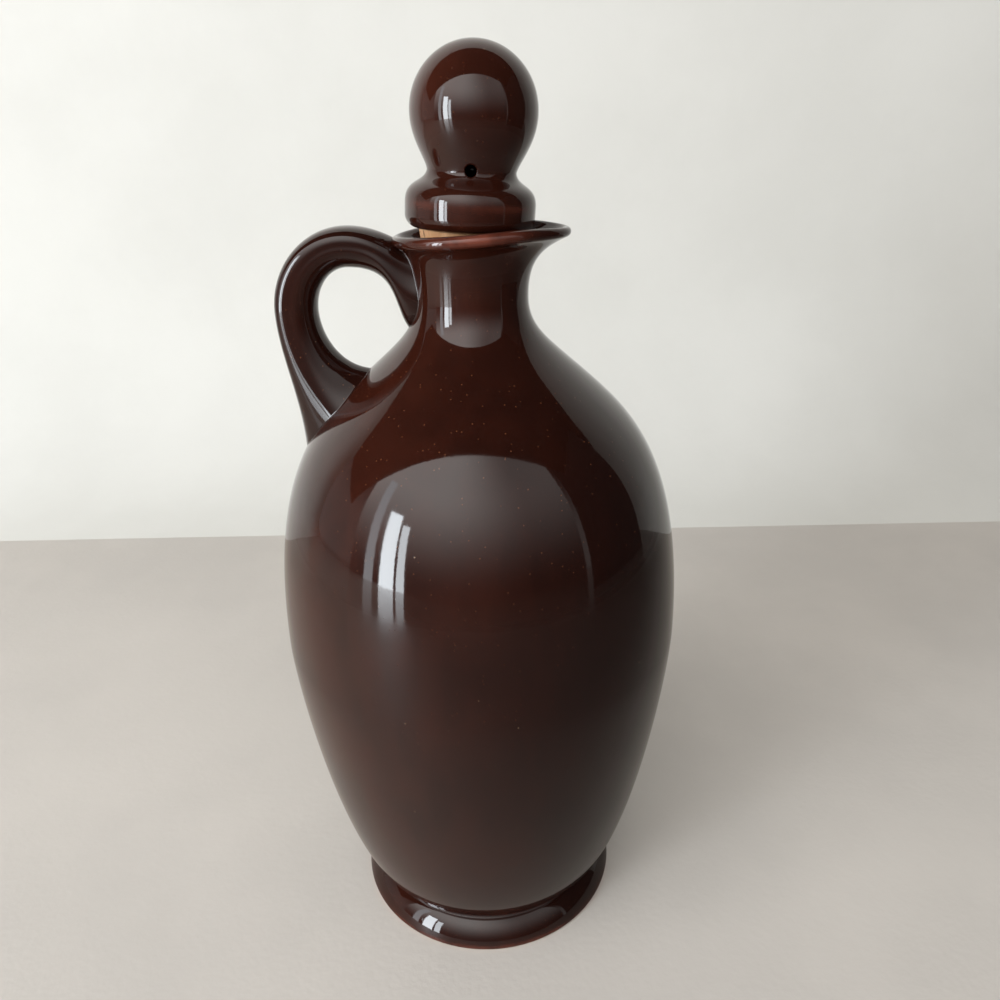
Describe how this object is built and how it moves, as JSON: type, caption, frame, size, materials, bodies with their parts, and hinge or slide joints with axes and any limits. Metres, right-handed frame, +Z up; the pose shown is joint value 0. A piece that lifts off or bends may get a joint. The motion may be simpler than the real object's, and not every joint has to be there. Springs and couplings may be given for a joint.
{
  "type": "ceramic decanter",
  "caption": "Ovoid glazed stoneware decanter with a narrow neck, a pouring lip, a loop handle and a ball-headed cork stopper that lifts out.",
  "frame": {"origin": "centre of the foot ring on the surface that the decanter stands on, on the vessel's axis", "axes": "+Z up along the vessel's axis, +X towards the spout, the handle towards -X, the stopper's vent hole towards -Y"},
  "size_m": [0.1002, 0.1002, 0.2188],
  "materials": {
    "glaze": "gloss",
    "cork": "matte"
  },
  "bodies": {
    "jug": {"vessel": "glaze", "handle": "glaze"},
    "stopper": {"knob": "glaze", "cork": "cork"}
  },
  "joints": [
    {"name": "stopper_lift", "type": "slide", "parent": "jug", "child": "stopper", "axis": [0, 0, 1], "range_m": [0, 0.06]}
  ]
}
